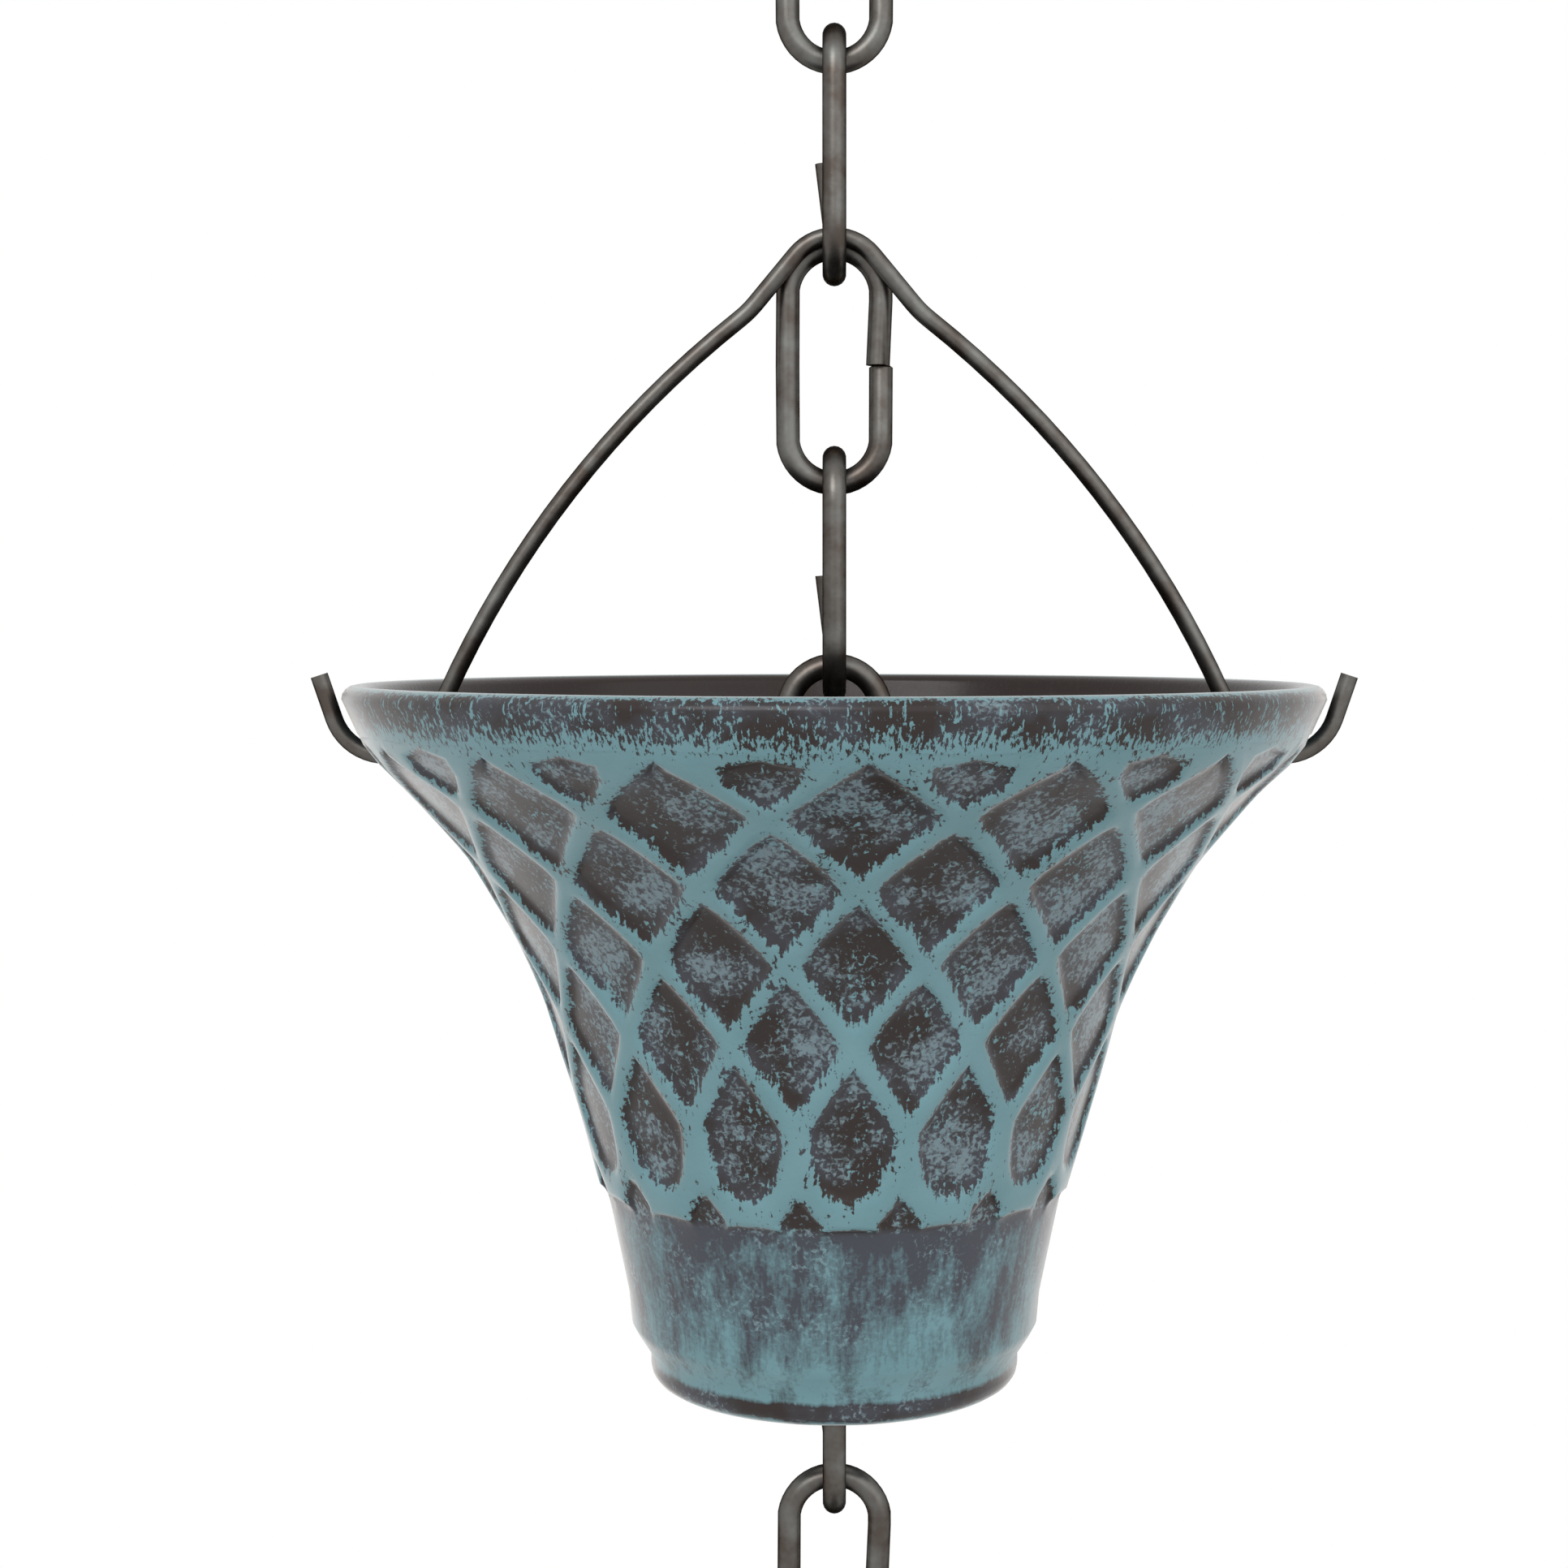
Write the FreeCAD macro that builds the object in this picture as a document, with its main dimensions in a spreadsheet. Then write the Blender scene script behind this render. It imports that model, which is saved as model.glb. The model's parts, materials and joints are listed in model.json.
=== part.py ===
"""Rain chain: a hook, oval wire links, lattice cups on wire bails and a glass drop, in millimetres.

The origin is the point that the hook's curl bears on, and the chain hangs straight down from it. Links
lie in turn edge-on (in the YZ plane) and face-on (in the XZ plane). Every cup hangs by its bail from an
edge-on link, and the chain runs on through the cup and out of its drain.
"""
import FreeCAD, Part
import Sketcher
import math
import os

from FreeCAD import Placement, Rotation, Vector

CUPS = 12
LINKS_PER_CUP = 10
TOP_LINKS = 5
INNER_LINKS = 7
TAIL_LINKS = 4
DIAMONDS_AROUND = 16
DIAMOND_ROWS = 5
DROP_FACETS_BELOW = 9
DROP_FACETS_ABOVE = 3

SIZES = {
    "link_wire": 2.3,
    "link_reach": 20.15,
    "link_gap": 6.7,
    "link_play": 0.15,
    "butt_gap": 0.3,
    "hook_wire": 2.5,
    "hook_curl": 14.0,
    "hook_loop": 4.3,
    "hook_height": 57.5,
    "hook_curl_end": 39.0,
    "hook_loop_end": 25.0,
    "rim_radius": 47.0,
    "band_radius": 44.7,
    "band_height": 6.5,
    "flare_round": 60.0,
    "neck_radius": 28.9,
    "neck_depth": 28.6,
    "body_round": 250.0,
    "skirt_radius": 23.0,
    "skirt_depth": 48.5,
    "foot_radius": 19.1,
    "foot_depth": 62.7,
    "base_radius": 17.2,
    "ledge_drop": 2.4,
    "base_round": 1.6,
    "cup_depth": 68.0,
    "cup_wall": 2.6,
    "floor_wall": 1.8,
    "drain_radius": 11.0,
    "relief": 0.7,
    "rib_width": 2.3,
    "row_rise": 8.2,
    "first_row": 5.6,
    "lattice_turn": 3.5,
    "bail_wire": 1.7,
    "bail_rise": 49.6,
    "bail_inset": 1.1,
    "bail_hole_depth": 7.0,
    "bail_hole_play": 0.5,
    "bail_apex": 4.8,
    "bail_apex_slope": 50.0,
    "bail_neck": 6.0,
    "bail_shoulder": 10.0,
    "bail_shoulder_slope": 38.0,
    "bail_bend": 5.2,
    "bail_tail": 4.4,
    "bail_tail_lean": 18.0,
    "ring_wire": 1.4,
    "ring_reach": 10.8,
    "ring_gap": 6.2,
    "drop_width": 20.7,
    "drop_height": 41.5,
    "drop_tip": 3.0,
    "drop_thickness": 11.0,
    "drop_table_width": 12.0,
    "drop_table_height": 24.0,
    "drop_table_tip": 1.0,
    "drop_eye_radius": 1.5,
    "drop_eye_depth": 3.2,
    "drop_eye_lift": 0.45,
}

doc = FreeCAD.newDocument("rain_chain")
sheet = doc.addObject("Spreadsheet::Sheet", "sizes")
for row, (name, number) in enumerate(SIZES.items(), start=1):
    sheet.set(f"A{row}", str(number))
    sheet.setAlias(f"A{row}", name)
doc.recompute()


def mm(name):
    """A driving size, read from the sheet."""
    return float(sheet.get(name))


def value(text):
    """The number that an expression of the sheet's sizes comes to."""
    return float(sheet.evalExpression(text))


def plane(body, role):
    """An origin plane of a body."""
    return next(f for f in body.Origin.OriginFeatures if f.Role == role)


def new_sketch(body, name, role, offset=Placement()):
    """A sketch on an origin plane of its body, moved by an offset in that plane's own axes."""
    sketch = body.newObject("Sketcher::SketchObject", name)
    sketch.AttachmentSupport = (plane(body, role), [""])
    sketch.MapMode = "FlatFace"
    sketch.AttachmentOffset = offset
    return sketch


def drive(sketch, kind, where, text):
    """Adds a dimension to a sketch and ties it to the sheet."""
    index = sketch.addConstraint(Sketcher.Constraint(kind, *where, value(text)))
    sketch.setExpression(f"Constraints[{index}]", text)


def arc_between(start, end, radius):
    """An arc that leaves start and turns left to end, both in the sketch's plane."""
    chord = end - start
    left = Vector(-chord.y, chord.x, 0) / chord.Length
    centre = (start + end) / 2 + left * math.sqrt(radius**2 - chord.Length**2 / 4)
    first = math.atan2(start.y - centre.y, start.x - centre.x)
    last = math.atan2(end.y - centre.y, end.x - centre.x)
    return Part.ArcOfCircle(Part.Circle(centre, Vector(0, 0, 1), radius), first, last)


def outline(sketch, corners, rounds):
    """A closed outline through corners given as pairs of expressions.

    rounds gives, for the corner that an arc leaves, the expression of that arc's radius.
    """
    points = [Vector(value(across), value(up), 0) for across, up in corners]
    for index, start in enumerate(points):
        end = points[(index + 1) % len(points)]
        if index in rounds:
            sketch.addGeometry(arc_between(start, end, value(rounds[index])))
        else:
            sketch.addGeometry(Part.LineSegment(start, end))
    for index, (across, up) in enumerate(corners):
        following = (index + 1) % len(corners)
        sketch.addConstraint(Sketcher.Constraint("Coincident", index, 2, following, 1))
        drive(sketch, "DistanceX", (-1, 1, index, 1), across)
        drive(sketch, "DistanceY", (-1, 1, index, 1), up)
    for index, radius in rounds.items():
        drive(sketch, "Radius", (index,), radius)


def bend_path(sketch, height, heading, runs):
    """Draws straight runs and arcs end to end from the upright axis, each tangent to the one before.

    A run is the expression of its length or radius, and the angle it turns: 0 where it is straight and
    positive to the left.
    """
    point = Vector(0, value(height), 0)
    angle = math.radians(heading)
    tail = None
    for driver, turn in runs:
        extent = value(driver)
        if turn == 0:
            tip = point + Vector(math.cos(angle), math.sin(angle), 0) * extent
            index = sketch.addGeometry(Part.LineSegment(point, tip))
            ends = (1, 2)
        else:
            side = math.copysign(1, turn)
            centre = point + Vector(-math.sin(angle), math.cos(angle), 0) * side * extent
            first = angle - side * math.pi / 2
            last = first + math.radians(turn)
            circle = Part.Circle(centre, Vector(0, 0, 1), extent)
            index = sketch.addGeometry(Part.ArcOfCircle(circle, min(first, last), max(first, last)))
            ends = (1, 2) if turn > 0 else (2, 1)
            tip = centre + Vector(math.cos(last), math.sin(last), 0) * extent
            angle += math.radians(turn)
        if tail is None:
            sketch.addConstraint(Sketcher.Constraint("PointOnObject", index, ends[0], -2))
            drive(sketch, "DistanceY", (-1, 1, index, ends[0]), height)
        else:
            sketch.addConstraint(Sketcher.Constraint("Tangent", *tail, index, ends[0]))
        drive(sketch, "Radius" if turn else "Distance", (index,), driver)
        tail = (index, ends[1])
        point = tip


def wire_section(body, name, height, wire):
    """The round section of a wire where its path crosses the YZ plane at a height."""
    sketch = new_sketch(body, name, "YZ_Plane")
    centre = Vector(0, value(height), 0)
    circle = sketch.addGeometry(Part.Circle(centre, Vector(0, 0, 1), value(wire) / 2))
    sketch.addConstraint(Sketcher.Constraint("PointOnObject", circle, 3, -2))
    drive(sketch, "DistanceY", (-1, 1, circle, 3), height)
    drive(sketch, "Diameter", (circle,), wire)
    return sketch


def pipe(body, name, section, path):
    """Sweeps a wire's section along its path."""
    feature = body.newObject("PartDesign::AdditivePipe", name)
    feature.Profile = section
    feature.Spine = (path, [""])
    return feature


def revolve(body, kind, name, sketch):
    """Turns a sketch about the cup's upright axis, to add or to cut."""
    feature = body.newObject(f"PartDesign::{kind}", name)
    feature.Profile = sketch
    feature.ReferenceAxis = (sketch, ["V_Axis"])
    feature.Angle = 360
    return feature


def round_pocket(body, name, role, height, radius, both_ways):
    """A round hole from an origin plane right through the body."""
    sketch = new_sketch(body, f"{name}_sketch", role)
    circle = sketch.addGeometry(Part.Circle(Vector(0, value(height), 0), Vector(0, 0, 1), value(radius)))
    sketch.addConstraint(Sketcher.Constraint("PointOnObject", circle, 3, -2))
    drive(sketch, "DistanceY", (-1, 1, circle, 3), height)
    drive(sketch, "Radius", (circle,), radius)
    feature = body.newObject("PartDesign::Pocket", name)
    feature.Profile = sketch
    feature.Type = "ThroughAll"
    feature.Midplane = both_ways
    return feature


def copy_of(original, label, place):
    """A further piece of the same shape, with its own name and place."""
    copy = doc.addObject("App::Link", label)
    copy.LinkedObject = original
    copy.Label = label
    copy.Placement = place
    return copy


def oval_link(name, kind):
    """A link of bent wire, face-on and centred, with the slit of its butt joint in the right limb."""
    straight = f"sizes.{kind}_reach - sizes.{kind}_gap"
    bend = f"(sizes.{kind}_gap + sizes.{kind}_wire) / 2"
    pieces = []
    for end, turn in (("top", 0), ("bottom", 180)):
        crown = doc.addObject("Part::Torus", f"{name}_{end}")
        crown.setExpression("Radius1", bend)
        crown.setExpression("Radius2", f"sizes.{kind}_wire / 2")
        crown.Angle3 = 180
        height = value(straight) / 2 * (1 if end == "top" else -1)
        stand = Rotation(Vector(0, 1, 0), turn).multiply(Rotation(Vector(1, 0, 0), 90))
        crown.Placement = Placement(Vector(0, 0, height), stand)
        pieces.append(crown)
    for side in (-1, 1):
        limb = doc.addObject("Part::Cylinder", f"{name}_limb")
        limb.setExpression("Radius", f"sizes.{kind}_wire / 2")
        limb.setExpression("Height", straight)
        limb.Placement = Placement(Vector(side * value(bend), 0, -value(straight) / 2), Rotation())
        pieces.append(limb)
    whole = doc.addObject("Part::MultiFuse", f"{name}_bent")
    whole.Shapes = pieces
    slit = doc.addObject("Part::Box", f"{name}_slit")
    room = 2 * mm(f"{kind}_wire")
    slit.Length = room
    slit.Width = room
    slit.setExpression("Height", "sizes.butt_gap")
    slit.Placement = Placement(Vector(value(bend) - room / 2, -room / 2, -mm("butt_gap") / 2), Rotation())
    link = doc.addObject("Part::Cut", name)
    link.Base = whole
    link.Tool = slit
    return link


def hook_body():
    """The S-hook: a wide curl over the gutter and a narrow loop for the chain."""
    body = doc.addObject("PartDesign::Body", "hook")
    top = "sizes.hook_wire / 2"
    between = "(sizes.hook_height - sizes.hook_wire - sizes.hook_curl - sizes.hook_loop)"
    across = "(sizes.hook_curl + sizes.hook_loop)"
    slope = math.degrees(math.asin(value(across) / value(between)))
    section = wire_section(body, "hook_section", top, "sizes.hook_wire")
    curl = new_sketch(body, "hook_curl_path", "XZ_Plane")
    bend_path(curl, top, 180, [("sizes.hook_curl", 90 + mm("hook_curl_end"))])
    shank = new_sketch(body, "hook_shank_path", "XZ_Plane")
    runs = [
        ("sizes.hook_curl", -90 - slope),
        (f"sqrt({between} ^ 2 - {across} ^ 2)", 0),
        ("sizes.hook_loop", 180 + slope + mm("hook_loop_end")),
    ]
    bend_path(shank, top, 0, runs)
    pipe(body, "hook_curl_wire", section, curl)
    pipe(body, "hook_shank_wire", section, shank)
    return body


def bail_body():
    """The cup's bail, upright, with the line of its two wall holes as the X axis."""
    body = doc.addObject("PartDesign::Body", "bail")
    section = wire_section(body, "bail_section", "sizes.bail_rise", "sizes.bail_wire")
    apex, apex_slope = mm("bail_apex"), math.radians(mm("bail_apex_slope"))
    shoulder, slope = mm("bail_shoulder"), math.radians(mm("bail_shoulder_slope"))
    neck, bend = mm("bail_neck"), mm("bail_bend")
    shoulder_out = shoulder * (math.sin(apex_slope) - math.sin(slope))
    shoulder_down = shoulder * (math.cos(slope) - math.cos(apex_slope))
    arm_start = apex * math.sin(apex_slope) + neck * math.cos(apex_slope) + shoulder_out
    drop = apex * (1 - math.cos(apex_slope)) + neck * math.sin(apex_slope) + shoulder_down
    out = mm("band_radius") - mm("bail_inset") - arm_start
    down = mm("bail_rise") - drop - bend
    bow = (out**2 + down**2 - bend**2) / (2 * (bend - out * math.sin(slope) + down * math.cos(slope)))
    arm_end = math.asin((out + bow * math.sin(slope)) / (bow + bend))
    path = new_sketch(body, "bail_path", "XZ_Plane")
    runs = [
        ("sizes.bail_apex", -mm("bail_apex_slope")),
        ("sizes.bail_neck", 0),
        ("sizes.bail_shoulder", mm("bail_apex_slope") - mm("bail_shoulder_slope")),
        (str(bow), -math.degrees(arm_end - slope)),
        ("sizes.bail_bend", 90 - mm("bail_tail_lean") + math.degrees(arm_end)),
        ("sizes.bail_tail", 0),
    ]
    bend_path(path, "sizes.bail_rise", 0, runs)
    half = pipe(body, "bail_half", section, path)
    whole = body.newObject("PartDesign::Mirrored", "bail_whole")
    whole.Originals = [half]
    whole.MirrorPlane = (plane(body, "YZ_Plane"), [""])
    body.Tip = whole
    return body


def wall_corners(inset):
    """The flared wall from under the rim band to the foot of the lattice, set in by an expression."""
    return [
        (f"sizes.band_radius - {inset}", "-sizes.band_height"),
        (f"sizes.neck_radius - {inset}", "-sizes.neck_depth"),
        (f"sizes.skirt_radius - {inset}", "-sizes.skirt_depth"),
    ]


def cup_shell():
    """The cup before its lattice is sunk: turned outside, hollowed, drained and pierced for the bail."""
    body = doc.addObject("PartDesign::Body", "cup_shell")
    arcs = {2: "sizes.flare_round", 3: "sizes.body_round"}
    outside = new_sketch(body, "cup_outside", "XZ_Plane")
    corners = [("0", "0"), ("sizes.rim_radius", "0")]
    corners += wall_corners("0")
    corners += [
        ("sizes.skirt_radius - sizes.relief", "-sizes.skirt_depth"),
        ("sizes.foot_radius", "-sizes.foot_depth"),
        ("sizes.base_radius", "-sizes.foot_depth - sizes.ledge_drop"),
        ("sizes.base_radius", "sizes.base_round - sizes.cup_depth"),
        ("sizes.base_radius - sizes.base_round", "-sizes.cup_depth"),
        ("0", "-sizes.cup_depth"),
    ]
    outline(outside, corners, arcs)
    revolve(body, "Revolution", "cup_turned", outside)
    inside = new_sketch(body, "cup_inside", "XZ_Plane")
    floor = "sizes.floor_wall - sizes.cup_depth"
    corners = [("0", "0"), ("sizes.rim_radius - sizes.cup_wall", "0")]
    corners += wall_corners("sizes.cup_wall")
    corners += [
        ("sizes.foot_radius - sizes.cup_wall + sizes.relief", "-sizes.foot_depth"),
        ("sizes.base_radius - sizes.cup_wall", floor),
        ("0", floor),
    ]
    outline(inside, corners, arcs)
    revolve(body, "Groove", "cup_hollow", inside)
    round_pocket(body, "cup_drain", "XY_Plane", "0", "sizes.drain_radius", False)
    hole = "sizes.bail_wire / 2 + sizes.bail_hole_play"
    round_pocket(body, "cup_bail_holes", "YZ_Plane", "-sizes.bail_hole_depth", hole, True)
    return body


def wall_place(slant):
    """Radius, depth and lean of the cup's outside at a distance down the wall from the rim band."""
    ends = [Vector(value(across), value(up), 0) for across, up in wall_corners("0")]
    flare = arc_between(ends[0], ends[1], mm("flare_round")).toShape()
    body = arc_between(ends[1], ends[2], mm("body_round")).toShape()
    edge, along = (flare, slant) if slant <= flare.Length else (body, slant - flare.Length)
    inside = min(max(along, 0), edge.Length)
    at = edge.getParameterByLength(inside)
    down = edge.tangentAt(at)
    point = edge.valueAt(at) + down * (along - inside)
    return point.x, -point.y, math.degrees(math.atan2(-down.x, -down.y))


def lines_through(points):
    """Straight edges from each point to the next."""
    return [Part.LineSegment(start, end) for start, end in zip(points, points[1:])]


def close_outline(sketch, edges):
    """Adds edges that run end to end and joins each to the next."""
    for edge in edges:
        sketch.addGeometry(edge)
    for index in range(len(edges)):
        sketch.addConstraint(Sketcher.Constraint("Coincident", index, 2, (index + 1) % len(edges), 1))


def diamond_corners(radius):
    """Top, left, bottom and right of a diamond, pulled in from its rib lines by half a rib."""
    wide, high = radius * math.tan(math.pi / DIAMONDS_AROUND), mm("row_rise")
    pull = 1 - mm("rib_width") / 2 * math.hypot(wide, high) / (wide * high)
    wide, high = wide * pull, high * pull
    return [Vector(0, high, 0), Vector(-wide, 0, 0), Vector(0, -high, 0), Vector(wide, 0, 0)]


def below(points, limit):
    """The part of an outline that lies below a level line."""
    kept = []
    for start, end in zip(points, points[1:] + points[:1]):
        if start.y <= limit:
            kept.append(start)
        if (start.y - limit) * (end.y - limit) < 0:
            kept.append(start + (end - start) * ((limit - start.y) / (end.y - start.y)))
    return kept


def diamond_edges(radius, slant):
    """A diamond of the lattice, cut off level half a rib under the rim band."""
    points = below(diamond_corners(radius), slant - mm("rib_width") / 2)
    return lines_through(points + points[:1])


def leaf_edges(radius):
    """The lowest row's outline: a diamond above and a round-bottomed U below."""
    high, left, low, right = diamond_corners(radius)
    level = min(low.y + right.x, 0)
    side, far = Vector(left.x, level, 0), Vector(right.x, level, 0)
    circle = Part.Circle(Vector(0, level, 0), Vector(0, 0, 1), right.x)
    edges = lines_through([high, left, side])
    edges.append(Part.ArcOfCircle(circle, math.pi, 2 * math.pi))
    edges += lines_through([far, right, high])
    return edges


def notch_edges(radius):
    """The gap between the round ends of two neighbouring leaves, open to the plain band below."""
    half = radius * math.tan(math.pi / DIAMONDS_AROUND) - mm("rib_width") / 2
    high, left, right = Vector(0, half, 0), Vector(-half, -half, 0), Vector(half, -half, 0)
    return lines_through([high, left, right, high])


def lattice_row(name, wall, shifted, edges):
    """One row of pockets: a prism square to the wall, with its end at the pockets' floor, all round."""
    radius, depth, lean = wall
    tip = math.radians(lean)
    floor = Vector(0, mm("relief") * math.sin(tip) - depth, radius - mm("relief") * math.cos(tip))
    body = doc.addObject("PartDesign::Body", name)
    sketch = new_sketch(body, f"{name}_outline", "XZ_Plane", Placement(floor, Rotation(Vector(1, 0, 0), lean)))
    close_outline(sketch, edges)
    pad = body.newObject("PartDesign::Pad", f"{name}_prism")
    pad.Profile = sketch
    pad.setExpression("Length", "sizes.row_rise / 2")
    step = 360 / DIAMONDS_AROUND
    turns = [mm("lattice_turn") + step * (index + shifted / 2) for index in range(DIAMONDS_AROUND)]
    ring = doc.addObject("App::Link", f"{name}_ring")
    ring.LinkedObject = body
    ring.ShowElement = False
    ring.ElementCount = DIAMONDS_AROUND
    ring.PlacementList = [Placement(Vector(), Rotation(Vector(0, 0, 1), turn)) for turn in turns]
    return ring


def cup_solid():
    """A cup: the turned shell with the pockets between the lattice's ribs sunk in."""
    shell = cup_shell()
    slants = [mm("first_row") + mm("row_rise") * index for index in range(-1, DIAMOND_ROWS + 1)]
    walls = [wall_place(slant) for slant in slants]
    outlines = [diamond_edges(wall[0], slant) for wall, slant in zip(walls[:-2], slants)]
    outlines += [leaf_edges(walls[-2][0]), notch_edges(walls[-1][0])]
    rows = [
        lattice_row(f"lattice_{index}", wall, 1 - index % 2, edges)
        for index, (wall, edges) in enumerate(zip(walls, outlines))
    ]
    prisms = doc.addObject("Part::Compound", "lattice_prisms")
    prisms.Links = rows
    cup = doc.addObject("Part::Cut", "cup")
    cup.Base = shell
    cup.Tool = prisms
    return cup


def drop_edges(width, height, tip):
    """A faceted drop: a polygon round two circles, a wide one below and the tip's above."""
    low = width / 2
    between = height - low - tip
    lean = math.asin((low - tip) / between)
    middle = height / 2 - tip
    points = []
    for centre, radius, first, last, steps in (
        (middle - between, low, lean, -math.pi - lean, DROP_FACETS_BELOW),
        (middle, tip, math.pi - lean, lean, DROP_FACETS_ABOVE),
    ):
        for index in range(steps + 1):
            angle = first + (last - first) * index / steps
            points.append(Vector(radius * math.cos(angle), centre + radius * math.sin(angle), 0))
    return lines_through(points + points[:1])


def glass_drop():
    """The drop: a full outline at its girdle and a smaller flat table in front and behind."""
    body = doc.addObject("PartDesign::Body", "drop")
    table = (mm("drop_table_width"), mm("drop_table_height"), mm("drop_table_tip"))
    girdle = (mm("drop_width"), mm("drop_height"), mm("drop_tip"))
    layers = []
    for name, out, sizes in (("front", 0.5, table), ("girdle", 0, girdle), ("back", -0.5, table)):
        lie = Placement(Vector(0, 0, out * mm("drop_thickness")), Rotation())
        sketch = new_sketch(body, f"drop_{name}", "XZ_Plane", lie)
        close_outline(sketch, drop_edges(*sizes))
        layers.append(sketch)
    cut = body.newObject("PartDesign::AdditiveLoft", "drop_facets")
    cut.Profile = layers[0]
    cut.Sections = layers[1:]
    cut.Ruled = True
    eye = "sizes.drop_height / 2 - sizes.drop_eye_depth"
    round_pocket(body, "drop_eye", "XZ_Plane", eye, "sizes.drop_eye_radius", True)
    return body


def bail_seat():
    """Where a bail's apex lies beside the next link in a crown: forward of and above the crown's centre."""
    crown = (mm("link_gap") + mm("link_wire")) / 2
    half = (mm("link_wire") + mm("bail_wire")) / 2
    of_bail = crown - half - mm("link_play")
    of_link = crown - mm("link_wire") - mm("link_play")
    apart = half + mm("link_play")
    turn = math.acos((of_bail**2 + of_link**2 - apart**2) / (2 * of_bail * of_link))
    return of_bail * math.sin(turn), crown - of_bail * math.cos(turn)


EDGE_ON = Rotation(Vector(0, 0, 1), 90)
FACE_ON = Rotation()

pitch = mm("link_reach") - mm("link_play")
half_link = (mm("link_reach") + mm("link_wire")) / 2
first_crown = 2 * mm("hook_wire") - mm("hook_height") + mm("link_wire") / 2 + mm("link_play")


def link_height(number):
    """Height of the centre of a link, counted from the hook."""
    return first_crown - half_link - pitch * number


def link_place(number, height):
    """Place of a link: even ones are edge-on and odd ones face-on."""
    return Placement(Vector(0, 0, height), FACE_ON if number % 2 else EDGE_ON)


link = oval_link("link", "link")
ring = oval_link("ring", "ring")
hook = hook_body()
bail = bail_body()
cup = cup_solid()
drop = glass_drop()
nodes = [hook]


def link_run(name, first, count):
    """Links that go on one below the other, with heights from the link that carries the cup."""
    run = doc.addObject("Part::Compound", name)
    run.Links = [
        copy_of(link, f"{name}_link_{number}", link_place(number, -pitch * number))
        for number in range(first, first + count)
    ]
    return run


inner_run = link_run("inner_run", 1, INNER_LINKS)
outer_run = link_run("outer_run", INNER_LINKS + 1, LINKS_PER_CUP - INNER_LINKS)

for number in range(TOP_LINKS):
    place = link_place(number, link_height(number))
    nodes.append(copy_of(link, f"top_link_{number + 1}", place))

seat_forward, seat_up = bail_seat()
bail_tilt = math.asin(seat_forward / mm("bail_rise"))
pivot_drop = mm("bail_rise") * math.cos(bail_tilt) - seat_up
TILT = Rotation(Vector(1, 0, 0), math.degrees(bail_tilt))

for index in range(CUPS):
    carrier = link_height(TOP_LINKS - 1 + LINKS_PER_CUP * index)
    pivot = carrier - half_link - pivot_drop
    rim = pivot + mm("bail_hole_depth")
    label = f"{index + 1:02d}"
    nodes.append(copy_of(cup, f"cup_{label}", Placement(Vector(0, 0, rim), Rotation())))
    nodes.append(copy_of(bail, f"bail_{label}", Placement(Vector(0, 0, pivot), TILT)))
    hung = Placement(Vector(0, 0, carrier), Rotation())
    nodes.append(copy_of(inner_run, f"inner_chain_{label}", hung))
    if index < CUPS - 1:
        nodes.append(copy_of(outer_run, f"outer_chain_{label}", hung))

tail_first = TOP_LINKS + LINKS_PER_CUP * (CUPS - 1) + INNER_LINKS
for number in range(TAIL_LINKS):
    place = link_place(tail_first + number, link_height(tail_first + number))
    nodes.append(copy_of(link, f"tail_link_{number + 1}", place))

half_ring = (mm("ring_reach") + mm("ring_wire")) / 2
last_crown = link_height(tail_first + TAIL_LINKS - 1) - half_link
ring_top = last_crown + (mm("link_wire") + mm("ring_wire")) / 2 + mm("link_play")
ring_place = Placement(Vector(0, 0, ring_top - half_ring), EDGE_ON)
nodes.append(copy_of(ring, "drop_ring", ring_place))
eye_height = ring_top - 2 * half_ring + mm("drop_eye_lift")
drop_height = eye_height + mm("drop_eye_depth") - mm("drop_height") / 2
nodes.append(copy_of(drop, "glass_drop", Placement(Vector(0, 0, drop_height), Rotation())))

doc.recompute()

for item in doc.Objects:
    if {"Invalid", "Error"} & set(item.State):
        raise RuntimeError(f"{item.Label} failed: {item.State}")
for node in nodes:
    shape = node.Shape
    if shape.isNull() or not shape.isValid():
        raise RuntimeError(f"{node.Label} has no valid shape")

os.makedirs("parts", exist_ok=True)
for node in nodes:
    node.Shape.exportStep(f"parts/{node.Label}.step")
    print(node.Label, len(node.Shape.Solids), round(node.Shape.Volume, 1))
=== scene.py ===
"""Looks of the rain chain: brushed verdigris lattice cups on blackened wire, with an amber glass drop.

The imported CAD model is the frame. Hook, bails, ring and drop keep their CAD solids and get their finishes
here. Every link is modelled again with the butted joint of its wire, and every cup as one soft-edged
casting: its lattice is made as a flat sheet, carried over the rim to the drain on one side and down to the
foot on the other, and wrapped round the cup.
"""
import json
import logging
import math
from collections.abc import Callable
from dataclasses import dataclass
from enum import Enum
from typing import Any

import bpy
from mathutils import Matrix, Vector

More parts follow.
